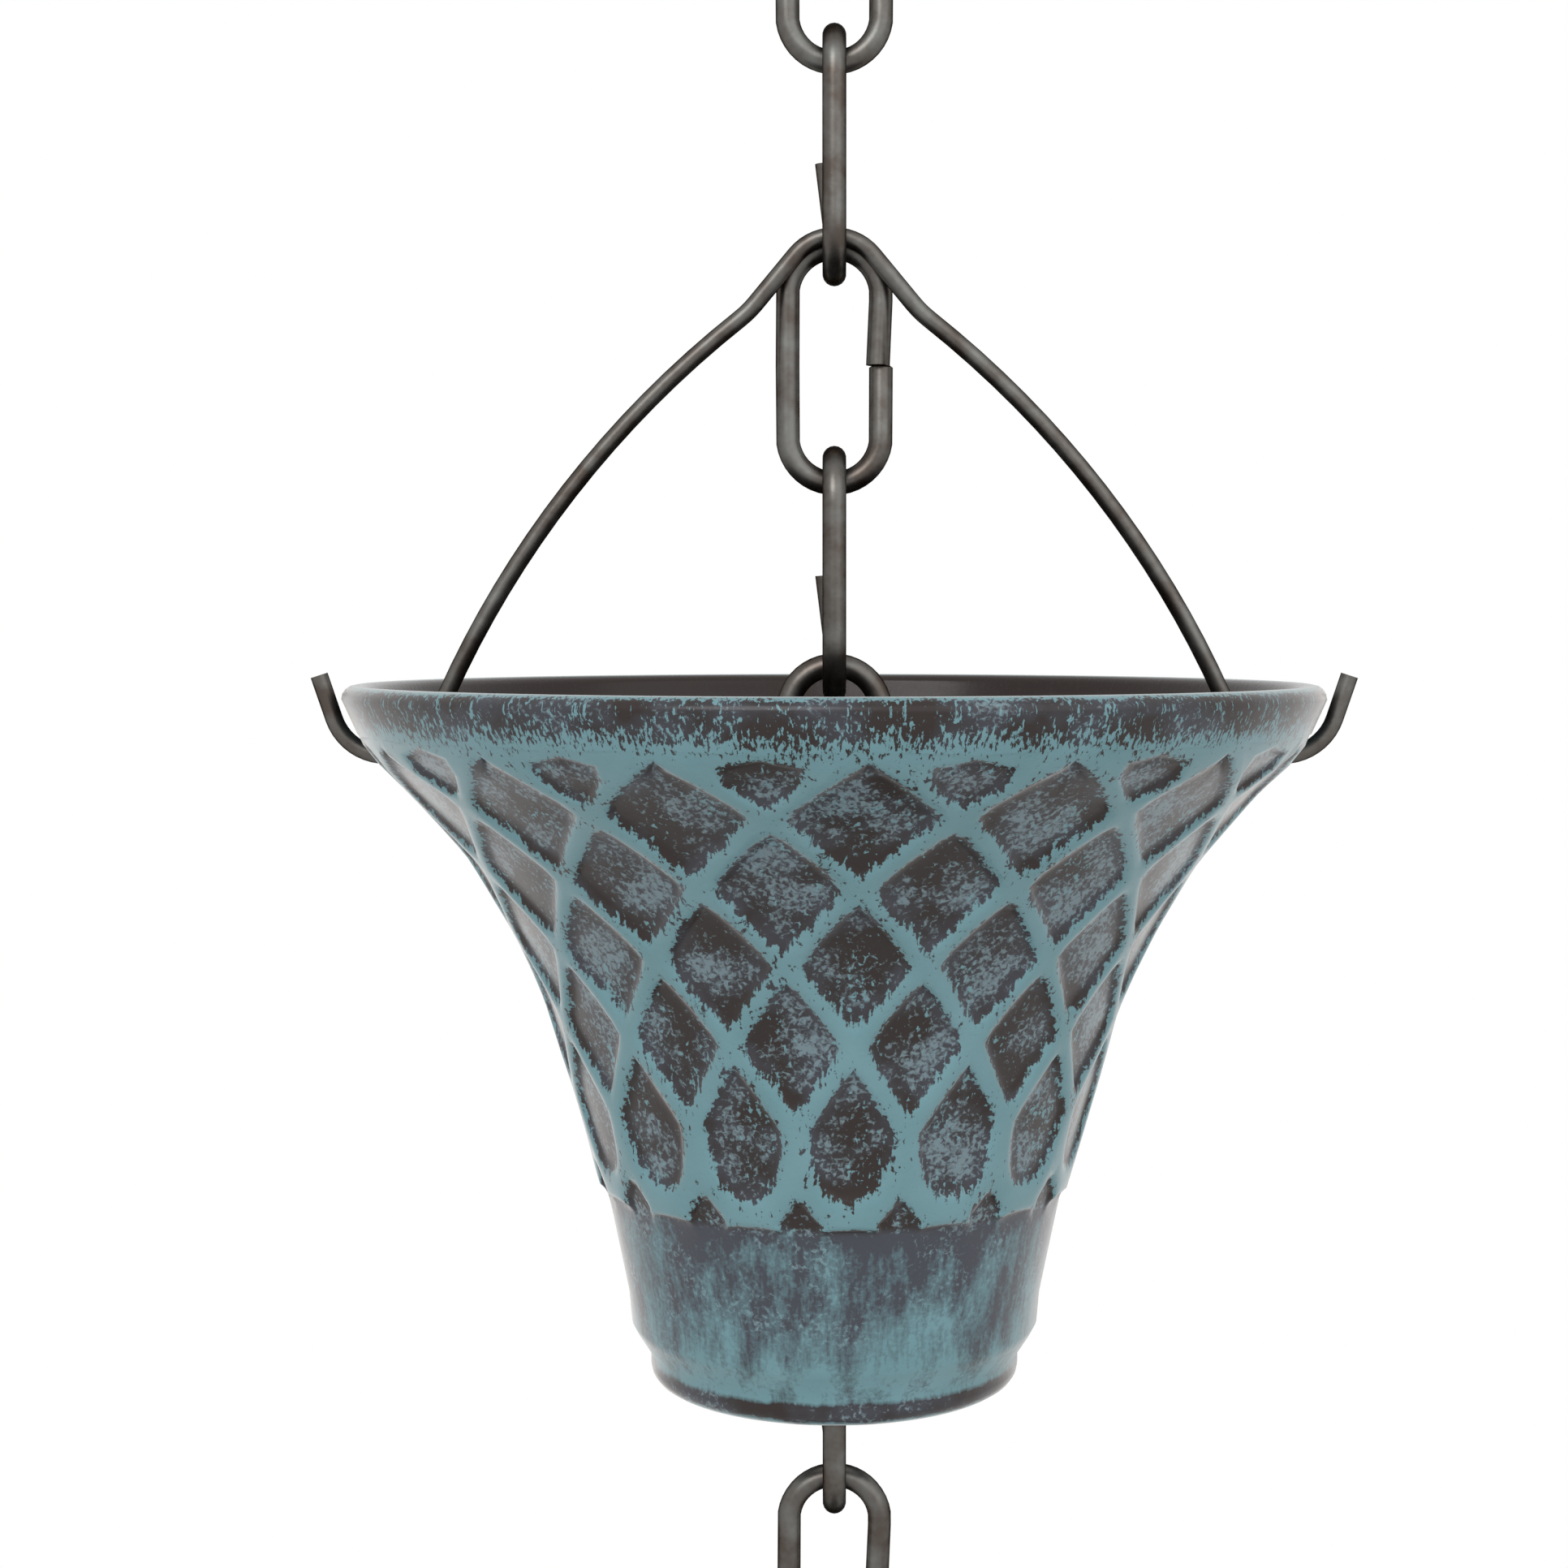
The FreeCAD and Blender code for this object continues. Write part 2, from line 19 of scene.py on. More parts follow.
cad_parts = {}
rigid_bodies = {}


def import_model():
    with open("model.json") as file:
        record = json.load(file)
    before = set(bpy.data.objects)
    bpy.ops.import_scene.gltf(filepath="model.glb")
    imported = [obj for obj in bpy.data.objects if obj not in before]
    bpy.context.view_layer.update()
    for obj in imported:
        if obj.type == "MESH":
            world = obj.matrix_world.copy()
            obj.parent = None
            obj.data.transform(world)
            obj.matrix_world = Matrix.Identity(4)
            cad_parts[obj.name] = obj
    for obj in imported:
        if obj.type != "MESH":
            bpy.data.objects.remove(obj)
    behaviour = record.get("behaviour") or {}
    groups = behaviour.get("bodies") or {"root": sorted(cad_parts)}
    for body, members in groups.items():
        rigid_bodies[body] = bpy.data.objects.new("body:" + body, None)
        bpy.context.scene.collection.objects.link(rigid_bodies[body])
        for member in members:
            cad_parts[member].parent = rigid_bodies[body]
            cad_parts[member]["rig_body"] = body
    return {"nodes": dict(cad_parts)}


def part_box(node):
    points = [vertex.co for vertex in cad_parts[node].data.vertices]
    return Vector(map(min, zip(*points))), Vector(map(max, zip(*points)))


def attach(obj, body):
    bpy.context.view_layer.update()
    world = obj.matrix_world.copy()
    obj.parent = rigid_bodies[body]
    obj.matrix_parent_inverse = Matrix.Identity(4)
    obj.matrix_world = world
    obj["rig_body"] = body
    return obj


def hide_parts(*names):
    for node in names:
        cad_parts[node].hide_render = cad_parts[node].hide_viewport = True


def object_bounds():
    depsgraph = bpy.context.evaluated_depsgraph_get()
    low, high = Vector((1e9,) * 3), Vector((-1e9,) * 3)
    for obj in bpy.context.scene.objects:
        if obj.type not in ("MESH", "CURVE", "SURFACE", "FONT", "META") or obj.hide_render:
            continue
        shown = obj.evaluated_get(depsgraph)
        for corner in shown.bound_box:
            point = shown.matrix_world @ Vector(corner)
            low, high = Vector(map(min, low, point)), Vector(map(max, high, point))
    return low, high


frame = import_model()
cad_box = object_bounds()

MM = 0.001
SAME = 1e-6
log = logging.getLogger("rain_chain")


class Pick(Enum):
    """What an edit-mode selection is made of."""

    POINTS = "VERT"
    EDGES = "EDGE"
    FACES = "FACE"


def linear(code: str) -> tuple[float, float, float, float]:
    """Turns a colour as it is seen into the numbers that a shader works with.

    Args:
        code: sRGB colour such as "#6C9196".

    Returns:
        Linear red, green, blue and an alpha of one.
    """
    parts = [int(code[i:i + 2], 16) / 255 for i in (1, 3, 5)]
    red, green, blue = (p / 12.92 if p <= 0.04045 else ((p + 0.055) / 1.055) ** 2.4 for p in parts)
    return red, green, blue, 1.0


def per_mm(size: float) -> float:
    """Scale of a noise whose features have a wanted size.

    Args:
        size: About how wide a feature is, in millimetres.

    Returns:
        The noise's scale.
    """
    return 1 / (size * MM)


def add(tree: bpy.types.NodeTree, kind: str, inputs: dict[Any, Any] | None = None,
        stops: list[tuple[float, Any]] | None = None, **settings: Any) -> bpy.types.Node:
    """Adds a shader node.

    Args:
        tree: Node tree of a material or the world.
        kind: The node's type.
        inputs: For each input, a constant or the socket that feeds it.
        stops: Places and grey levels of a ramp.
        settings: The node's own options.

    Returns:
        The new node.
    """
    made = tree.nodes.new(kind)
    for name, option in settings.items():
        setattr(made, name, option)
    for key, source in (inputs or {}).items():
        if isinstance(source, bpy.types.NodeSocket):
            tree.links.new(source, made.inputs[key])
        else:
            made.inputs[key].default_value = source
    for index, (place, level) in enumerate(stops or []):
        elements = made.color_ramp.elements
        element = elements[index] if index < 2 else elements.new(place)
        element.position = place
        element.color = (level, level, level, 1)
    return made


def new_material(name: str) -> tuple[bpy.types.Material, bpy.types.NodeTree, bpy.types.Node]:
    """A material with an empty principled shader.

    Args:
        name: The finish's common name.

    Returns:
        The material, its node tree and its shader.
    """
    material = bpy.data.materials.new(name)
    material.use_nodes = True
    tree = material.node_tree
    shader = next(n for n in tree.nodes if n.type == "BSDF_PRINCIPLED")
    return material, tree, shader


def dress(piece: bpy.types.Object, material: bpy.types.Material) -> None:
    """Gives a piece one finish all over.

    Args:
        piece: The piece.
        material: Its finish.
    """
    piece.data.materials.clear()
    piece.data.materials.append(material)


def ends(piece: bpy.types.Object, edge: bpy.types.MeshEdge) -> tuple[Vector, Vector]:
    """The two ends of an edge.

    Args:
        piece: The piece that the edge belongs to.
        edge: The edge.

    Returns:
        The places of its two points.
    """
    a, b = (piece.data.vertices[i].co for i in edge.vertices)
    return a, b


def select(piece: bpy.types.Object, kind: Pick, wanted: Callable[[Any], bool]) -> int:
    """Selects points, edges or faces of the piece in edit mode by their place.

    Args:
        piece: The object being modelled.
        kind: What is selected.
        wanted: Says of a point, edge or face whether it is taken.

    Returns:
        How many were taken.
    """
    bpy.ops.object.mode_set(mode="EDIT")
    bpy.ops.mesh.select_mode(type=kind.value)
    bpy.ops.mesh.select_all(action="DESELECT")
    bpy.ops.object.mode_set(mode="OBJECT")
    mesh = piece.data
    items = {Pick.POINTS: mesh.vertices, Pick.EDGES: mesh.edges, Pick.FACES: mesh.polygons}[kind]
    taken = [item for item in items if wanted(item)]
    for item in taken:
        item.select = True
    bpy.ops.object.mode_set(mode="EDIT")
    return len(taken)


def apply_modifier(piece: bpy.types.Object, kind: str, **settings: Any) -> None:
    """Adds a modifier to the active piece and applies it.

    Args:
        piece: The active piece.
        kind: The modifier's type.
        settings: The modifier's own options.
    """
    bpy.ops.object.mode_set(mode="OBJECT")
    bpy.ops.object.modifier_add(type=kind)
    modifier = piece.modifiers[-1]
    for name, option in settings.items():
        setattr(modifier, name, option)
    bpy.ops.object.modifier_apply(modifier=modifier.name)


@dataclass(frozen=True)
class BrushedVerdigris:
    """Cast metal stained dark brown, then dry-brushed with verdigris paint that catches on what stands proud.

    To the eye: solid matte green-blue on the ribs with ragged edges, brown hollows whose middles are flecked,
    upright brush marks on the rim band and the skirt, and a soft pale bloom where the wall turns away.
    """

    paint: str = "#5F868C"
    paint_pale: str = "#7598A0"
    stain: str = "#2E2725"
    stain_cool: str = "#41444C"
    fleck: str = "#8299A0"
    inside: str = "#2A211E"
    brush_mark: float = 0.4
    mark_stretch: float = 0.12
    stroke: float = 0.32
    stroke_stretch: float = 0.06
    fleck_size: float = 0.45
    patch_size: float = 3.6
    patch_stretch: float = 0.35
    cloud_size: float = 6.0
    lattice_shares: tuple[float, ...] = (1.8, 0.0, 1.4, 1.5)
    skirt_shares: tuple[float, ...] = (1.0, 0.0, 0.9, 2.6)
    band_shares: tuple[float, ...] = (0.6, 3.0, 0.6, 0.8)
    crisp_edge: tuple[float, float] = (0.43, 0.57)
    rubbed_edge: tuple[float, float] = (0.1, 0.98)
    dust_range: tuple[float, float] = (1.07, 1.25)
    most_dust: float = 0.65
    bloom_tint: str = "#FFF8F2"
    bloom: float = 0.7
    bloom_roughness: float = 0.3
    bare_roughness: float = 0.42
    paint_roughness: float = 0.58
    inside_roughness: float = 0.3
    reflection: float = 0.1
    coat_roughness: float = 0.22
    coat_ior: float = 1.24
    grain: float = 0.12

    def material(self, cup: "CupShape") -> bpy.types.Material:
        """Builds the finish for a cup's own stations down the wall.

        Args:
            cup: The cup whose bands the paint follows.

        Returns:
            The material.
        """
        made, tree, shader = new_material("verdigris_brushed_casting")
        place = add(tree, "ShaderNodeTexCoord").outputs["Object"]
        relief = add(tree, "ShaderNodeAttribute", attribute_name="relief").outputs["Fac"]
        station = add(tree, "ShaderNodeAttribute", attribute_name="station").outputs["Fac"]
        upright = add(tree, "ShaderNodeMapping", {"Vector": place, "Scale": (1, 1, self.mark_stretch)})
        tall = add(tree, "ShaderNodeMapping", {"Vector": place, "Scale": (1, 1, self.patch_stretch)})
        marks = add(tree, "ShaderNodeTexNoise", {
            "Vector": upright.outputs[0], "Scale": per_mm(self.brush_mark), "Detail": 4.0, "Roughness": 0.6})
        combed = add(tree, "ShaderNodeMapping", {"Vector": place, "Scale": (1, 1, self.stroke_stretch)})
        strokes = add(tree, "ShaderNodeTexNoise", {
            "Vector": combed.outputs[0], "Scale": per_mm(self.stroke), "Detail": 3.0, "Roughness": 0.6})
        flecks = add(tree, "ShaderNodeTexNoise", {
            "Vector": place, "Scale": per_mm(self.fleck_size), "Detail": 3.0, "Distortion": 0.6})
        patches = add(tree, "ShaderNodeTexNoise", {
            "Vector": tall.outputs[0], "Scale": per_mm(self.patch_size), "Detail": 3.0, "Roughness": 0.6})
        clouds = add(tree, "ShaderNodeTexNoise", {
            "Vector": place, "Scale": per_mm(self.cloud_size), "Detail": 3.0, "Roughness": 0.55})

        along = add(tree, "ShaderNodeMapRange", {
            "Value": station, "From Min": cup.first_station, "From Max": cup.last_station})
        coverage = add(tree, "ShaderNodeValToRGB", {"Fac": along.outputs[0]}, stops=cup.paint_stops())
        held = add(tree, "ShaderNodeMapRange", {"Value": coverage.outputs[0], "To Min": cup.least_paint})
        on_ribs = add(tree, "ShaderNodeValToRGB", {"Fac": relief},
                      stops=[(0.0, 0.97), (1.0, 0.1), (0.14, 0.78), (0.45, 0.42), (0.75, 0.16)])
        wanted = add(tree, "ShaderNodeMath", {0: held.outputs[0], 1: on_ribs.outputs[0]}, operation="MULTIPLY")
        on_skirt = add(tree, "ShaderNodeMapRange", {
            "Value": station, "From Min": cup.lattice_end, "From Max": cup.skirt_start})
        on_band = add(tree, "ShaderNodeMapRange", {"Value": station, "From Min": -0.4, "From Max": -2.0})
        level = wanted.outputs[0]
        noises = (marks, strokes, flecks, patches)
        for noise, share, skirt_share, band_share in zip(
                noises, self.lattice_shares, self.skirt_shares, self.band_shares):
            offset = add(tree, "ShaderNodeMath", {0: noise.outputs["Fac"], 1: 0.5}, operation="SUBTRACT")
            amount = add(tree, "ShaderNodeMapRange", {
                "Value": on_skirt.outputs[0], "To Min": share, "To Max": skirt_share})
            here = add(tree, "ShaderNodeMix", {
                "Factor": on_band.outputs[0], "A": amount.outputs[0], "B": band_share})
            level = add(tree, "ShaderNodeMath", {0: offset.outputs[0], 1: here.outputs[0], 2: level},
                        operation="MULTIPLY_ADD").outputs[0]
        crisp = add(tree, "ShaderNodeMapRange", {
            "Value": level, "From Min": self.crisp_edge[0], "From Max": self.crisp_edge[1]})
        rubbed = add(tree, "ShaderNodeMapRange", {
            "Value": level, "From Min": self.rubbed_edge[0], "From Max": self.rubbed_edge[1]})
        painted = add(tree, "ShaderNodeMix", {
            "Factor": on_skirt.outputs[0], "A": crisp.outputs[0], "B": rubbed.outputs[0]})

        paint = add(tree, "ShaderNodeMix", {
            "Factor": clouds.outputs["Fac"], "A": linear(self.paint), "B": linear(self.paint_pale)},
            data_type="RGBA")
        cool = add(tree, "ShaderNodeMapRange", {
            "Value": clouds.outputs["Fac"], "From Min": 0.42, "From Max": 0.6, "To Max": 0.8})
        above_foot = add(tree, "ShaderNodeMapRange", {
            "Value": station, "From Min": cup.foot_station + 1.0, "From Max": cup.foot_station - 1.0})
        washed = add(tree, "ShaderNodeMath", {
            0: on_skirt.outputs[0], 1: above_foot.outputs[0]}, operation="MULTIPLY")
        cooler = add(tree, "ShaderNodeMath", {0: cool.outputs[0], 1: washed.outputs[0]}, operation="MAXIMUM")
        stain = add(tree, "ShaderNodeMix", {
            "Factor": cooler.outputs[0], "A": linear(self.stain), "B": linear(self.stain_cool)}, data_type="RGBA")
        middle = add(tree, "ShaderNodeMapRange", {
            "Value": relief, "From Min": 0.84, "From Max": 0.99, "To Max": 0.16})
        speckle = add(tree, "ShaderNodeMath", {0: flecks.outputs["Fac"], 1: middle.outputs[0]}, operation="ADD")
        dusty = add(tree, "ShaderNodeMath", {
            0: clouds.outputs["Fac"], 1: 0.9, 2: speckle.outputs[0]}, operation="MULTIPLY_ADD")
        dust = add(tree, "ShaderNodeMapRange", {
            "Value": dusty.outputs[0], "From Min": self.dust_range[0], "From Max": self.dust_range[1],
            "To Max": self.most_dust})
        floor = add(tree, "ShaderNodeMix", {
            "Factor": dust.outputs[0], "A": stain.outputs["Result"], "B": linear(self.fleck)}, data_type="RGBA")
        outside = add(tree, "ShaderNodeMix", {
            "Factor": painted.outputs[0], "A": floor.outputs["Result"], "B": paint.outputs["Result"]},
            data_type="RGBA")
        is_inside = add(tree, "ShaderNodeMapRange", {
            "Value": station, "From Min": cup.lip_station, "From Max": cup.lip_station - 0.6})
        colour = add(tree, "ShaderNodeMix", {
            "Factor": is_inside.outputs[0], "A": outside.outputs["Result"], "B": linear(self.inside)},
            data_type="RGBA")
        tree.links.new(colour.outputs["Result"], shader.inputs["Base Color"])

        dull = add(tree, "ShaderNodeMapRange", {
            "Value": painted.outputs[0], "To Min": self.bare_roughness, "To Max": self.paint_roughness})
        rough = add(tree, "ShaderNodeMix", {
            "Factor": is_inside.outputs[0], "A": dull.outputs[0], "B": self.inside_roughness})
        tree.links.new(rough.outputs[0], shader.inputs["Roughness"])
        bloom = add(tree, "ShaderNodeMapRange", {"Value": is_inside.outputs[0], "To Min": self.bloom, "To Max": 0.0})
        tree.links.new(bloom.outputs[0], shader.inputs["Sheen Weight"])
        shader.inputs["Sheen Roughness"].default_value = self.bloom_roughness
        shader.inputs["Sheen Tint"].default_value = linear(self.bloom_tint)
        shader.inputs["Specular IOR Level"].default_value = self.reflection
        shader.inputs["Coat Weight"].default_value = 1.0
        shader.inputs["Coat Roughness"].default_value = self.coat_roughness
        shader.inputs["Coat IOR"].default_value = self.coat_ior
        grain = add(tree, "ShaderNodeMath", {
            0: painted.outputs[0], 1: 0.6, 2: flecks.outputs["Fac"]}, operation="MULTIPLY_ADD")
        bump = add(tree, "ShaderNodeBump", {"Height": grain.outputs[0], "Strength": 0.35, "Distance": self.grain * MM})
        tree.links.new(bump.outputs[0], shader.inputs["Normal"])
        return made


@dataclass(frozen=True)
class BlackenedWire:
    """Drawn steel wire, bent cold and blackened, with a thin satin oil finish.

    To the eye: dark brown-grey with darker edges, a soft long highlight down each limb, and cooler and
    warmer stretches where the blackening took unevenly.
    """

    dark: str = "#534C47"
    worn: str = "#6D6D6A"
    edge: str = "#3F3C3A"
    blotch: float = 3.5
    draw_mark: float = 0.25

    def material(self) -> bpy.types.Material:
        """Builds the finish.

        Returns:
            The material.
        """
        made, tree, shader = new_material("blackened_drawn_wire")
        place = add(tree, "ShaderNodeTexCoord").outputs["Object"]
        blotches = add(tree, "ShaderNodeTexNoise", {
            "Vector": place, "Scale": per_mm(self.blotch), "Detail": 3.0, "Roughness": 0.6})
        marks = add(tree, "ShaderNodeTexNoise", {
            "Vector": place, "Scale": per_mm(self.draw_mark), "Detail": 2.0})
        worn = add(tree, "ShaderNodeMapRange", {
            "Value": blotches.outputs["Fac"], "From Min": 0.35, "From Max": 0.68})
        colour = add(tree, "ShaderNodeMix", {
            "Factor": worn.outputs[0], "A": linear(self.dark), "B": linear(self.worn)}, data_type="RGBA")
        tree.links.new(colour.outputs["Result"], shader.inputs["Base Color"])
        shader.inputs["Metallic"].default_value = 1.0
        shader.inputs["Specular Tint"].default_value = linear(self.edge)
        rough = add(tree, "ShaderNodeMapRange", {
            "Value": blotches.outputs["Fac"], "To Min": 0.3, "To Max": 0.46})
        tree.links.new(rough.outputs[0], shader.inputs["Roughness"])
        bump = add(tree, "ShaderNodeBump", {
            "Height": marks.outputs["Fac"], "Strength": 0.12, "Distance": 0.05 * MM})
        tree.links.new(bump.outputs[0], shader.inputs["Normal"])
        return made


@dataclass(frozen=True)
class AmberGlass:
    """Pressed and polished amber glass: clear, warm and darker where it is thick."""

    tint: str = "#E09A3C"
    cloud: str = "#C9781F"
    swirl: float = 14.0
    clearness: float = 0.85
    roughness: float = 0.04
    ior: float = 1.5

    def material(self) -> bpy.types.Material:
        """Builds the finish.

        Returns:
            The material.
        """
        made, tree, shader = new_material("amber_pressed_glass")
        place = add(tree, "ShaderNodeTexCoord").outputs["Object"]
        swirl = add(tree, "ShaderNodeTexNoise", {"Vector": place, "Scale": per_mm(self.swirl), "Detail": 1.0})
        colour = add(tree, "ShaderNodeMix", {
            "Factor": swirl.outputs["Fac"], "A": linear(self.tint), "B": linear(self.cloud)}, data_type="RGBA")
        tree.links.new(colour.outputs["Result"], shader.inputs["Base Color"])
        shader.inputs["Transmission Weight"].default_value = self.clearness
        shader.inputs["Roughness"].default_value = self.roughness
        shader.inputs["IOR"].default_value = self.ior
        return made


@dataclass
class CupShape:
    """A cup's turned shape and lattice, in millimetres and degrees.

    Stations run down the outside wall from the lower edge of the rim band, and on up over the rim and down
    the inside below zero.
    """

    rim_radius: float = 47.0
    band_radius: float = 44.7
    band_height: float = 6.5
    flare_round: float = 60.0
    neck_radius: float = 28.9
    neck_depth: float = 28.6
    body_round: float = 250.0
    skirt_radius: float = 23.0
    skirt_depth: float = 48.5
    foot_radius: float = 19.4
    foot_depth: float = 62.7
    base_radius: float = 18.0
    base_depth: float = 65.1
    base_round: float = 1.6
    depth: float = 68.0
    wall: float = 2.6
    floor: float = 1.8
    drain_radius: float = 11.0
    relief: float = 0.7
    rib_width: float = 1.4
    diamonds: int = 16
    row_rise: float = 8.2
    first_row: float = 5.6
    lattice_turn: float = 3.5
    lattice_end: float = 48.1
    skirt_start: float = 48.8
    skirt_fade: float = 1.8
    sheet_top: float = -2.2
    sheet_end: float = 52.0
    sheet_radius: float = 40.0
    leaf_row: int = 4
    leaf_side: tuple[float, float] = (6.2, 6.0)
    leaf_end: tuple[float, float] = (3.0, 8.4)
    leaf_rib: float = 1.4
    notch_drop: float = 5.6
    least_paint: float = -0.6
    hole_depth: float = 7.0
    hole_radius: float = 1.35
    hole_points: int = 24
    knot_cut: float = 0.85
    rib_side: float = 0.45
    floor_border: float = 1.1
    half_floor_border: float = 0.3
    notch_floor_border: float = 0.4
    half_rib_share: float = 0.65
    leaf_rib_share: float = 1.35
    inside_step: float = 7.0
    outside_step: float = 4.0
    arc_steps: int = 24
    first_station: float = -12.0

    def __post_init__(self) -> None:
        """Lays out the two runs of the profile, from the rim band's lower edge."""
        self.down = self.measured(self.outside_run())
        self.up = self.measured(self.inside_run())
        self.band_top = next(-s for s, r, z in self.up if r >= self.rim_radius - 1e-9)
        self.lip_station = self.band_top - math.pi * self.wall / 4
        self.last_station = self.down[-1][0]
        self.foot_station = next(s for s, r, z in self.down if z <= -self.foot_depth)
        self.base_station = next(s for s, r, z in self.down if z <= -self.base_depth)

    def arc(self, start: tuple[float, float], end: tuple[float, float],
            radius: float) -> list[tuple[float, float]]:
        """Points of a hollow arc down the wall.

        Args:
            start: Radius and height where the arc starts.
            end: Radius and height where it ends.
            radius: Radius of the arc itself.

        Returns:
            Points after the start, with the end as the last.
        """
        a, b = Vector(start), Vector(end)
        chord = b - a
        out = Vector((-chord.y, chord.x)).normalized()
        centre = (a + b) / 2 + out * math.sqrt(radius**2 - chord.length_squared / 4)
        first = math.atan2(a.y - centre.y, a.x - centre.x)
        last = math.atan2(b.y - centre.y, b.x - centre.x)
        turn = (last - first + math.pi) % (2 * math.pi) - math.pi
        angles = [first + turn * (i + 1) / self.arc_steps for i in range(self.arc_steps)]
        return [(centre.x + radius * math.cos(t), centre.y + radius * math.sin(t)) for t in angles]

    def wall_run(self, inset: float) -> list[tuple[float, float]]:
        """The flared wall from the rim band down to the skirt.

        Args:
            inset: How far in from the outside the run lies.

        Returns:
            Radius and height of each point.
        """
        top = (self.band_radius - inset, -self.band_height)
        neck = (self.neck_radius - inset, -self.neck_depth)
        low = (self.skirt_radius - inset, -self.skirt_depth)
        return [top, *self.arc(top, neck, self.flare_round), *self.arc(neck, low, self.body_round)]

    def outside_run(self) -> list[tuple[float, float]]:
        """The outside from the rim band's lower edge to the lower edge of the drain.

        Returns:
            Radius and height of each point.
        """
        run = self.wall_run(0)
        run.append((self.foot_radius + self.relief, -self.foot_depth))
        run.append((self.foot_radius, -self.foot_depth - 0.25))
        run.append((self.base_radius, -self.base_depth))
        run.append((self.base_radius, self.base_round - self.depth))
        for step in range(1, 5):
            turn = math.radians(90 * step / 4)
            across = self.base_radius - self.base_round * (1 - math.cos(turn))
            run.append((across, self.base_round * (1 - math.sin(turn)) - self.depth))
        run.append((self.drain_radius, -self.depth))
        return run

    def inside_run(self) -> list[tuple[float, float]]:
        """The band, the rim's lip and the inside, from the band's lower edge to the upper edge of the drain.

        Returns:
            Radius and height of each point.
        """
        run = [(self.band_radius, -self.band_height)]
        lip = self.wall / 2
        for step in range(9):
            turn = math.radians(180 * step / 8)
            run.append((self.rim_radius - lip + lip * math.cos(turn), lip * (math.sin(turn) - 1)))
        run += self.wall_run(self.wall)
        run.append((self.foot_radius - self.wall + self.relief, -self.foot_depth))
        run.append((self.base_radius - self.wall, self.floor - self.depth))
        run.append((self.drain_radius, self.floor - self.depth))
        return run

    @staticmethod
    def measured(run: list[tuple[float, float]]) -> list[tuple[float, float, float]]:
        """Measures along a run.

        Args:
            run: Radius and height of each point.

        Returns:
            For each point its distance along the run, its radius and its height.
        """
        out, gone = [], 0.0
        for index, point in enumerate(run):
            if index:
                gone += math.dist(run[index - 1], point)
            out.append((gone, *point))
        return out

    def at(self, station: float) -> tuple[float, float, float, float]:
        """Place on the profile.

        Args:
            station: Distance down the wall from the rim band's lower edge, below zero up and over the rim.

        Returns:
            Radius, height, and the outward normal's radial and upward parts.
        """
        run, way = (self.down, 1) if station >= 0 else (self.up, -1)
        reach = min(abs(station), run[-1][0])
        index = next(i for i in range(1, len(run)) if run[i][0] >= reach - 1e-9)
        (s0, r0, z0), (s1, r1, z1) = run[index - 1], run[index]
        part = (reach - s0) / (s1 - s0)
        along = Vector((r1 - r0, z1 - z0)).normalized() * way
        return r0 + (r1 - r0) * part, z0 + (z1 - z0) * part, -along.y, along.x

    def station_near(self, radius: float, height: float) -> float:
        """Station of the profile's point that lies nearest to a place round the rim.

        Args:
            radius: The place's distance from the cup's axis.
            height: The place's height over the rim, below zero inside the cup.

        Returns:
            The station, to the nearest quarter of a millimetre.
        """
        stations = [step / 4 for step in range(-100, 61)]
        return min(stations, key=lambda s: math.dist(self.at(s)[:2], (radius, height)))

    def corners(self, run: list[tuple[float, float, float]], longest: float) -> list[float]:
        """Stations of a run's points, without those that lie close together and with more in long gaps.

        Args:
            run: A measured run.
            longest: The longest gap that is left.

        Returns:
            The stations after the first point.
        """
        found = [0.0]
        for gone, *_ in run[1:]:
            gap = gone - found[-1]
            if gap < 0.3 and gone != run[-1][0]:
                continue
            count = max(1, math.ceil(gap / longest))
            found += [found[-1] + gap * (i + 1) / count for i in range(count)]
        return found[1:]

    def paint_stops(self) -> list[tuple[float, float]]:
        """How much paint each station holds.

        Returns:
            Places along the ramp and levels from the least paint to all, the two ends first.
        """
        foot, base = self.foot_station, self.base_station
        levels = [
            (self.lip_station + 0.5, 0.9), (self.lip_station + 1.2, 0.12), (-4.4, 0.2), (-3.2, 0.5),
            (-2.0, 0.85), (-0.4, 1.0), (self.lattice_end, 1.0), (self.skirt_start - 0.2, 0.32), (foot - 7.0, 0.42),
            (foot - 1.2, 0.62), (foot + 0.3, 0.85), (base + 0.6, 0.95), (base + 0.8, self.least_paint),
            (base + 2.2, self.least_paint), (base + 2.5, 0.85), (self.last_station, 0.6),
        ]
        span = self.last_station - self.first_station
        places = [((s - self.first_station) / span, (level - self.least_paint) / (1 - self.least_paint))
                  for s, level in levels]
        return [places[0], places[-1], *places[1:-1]]


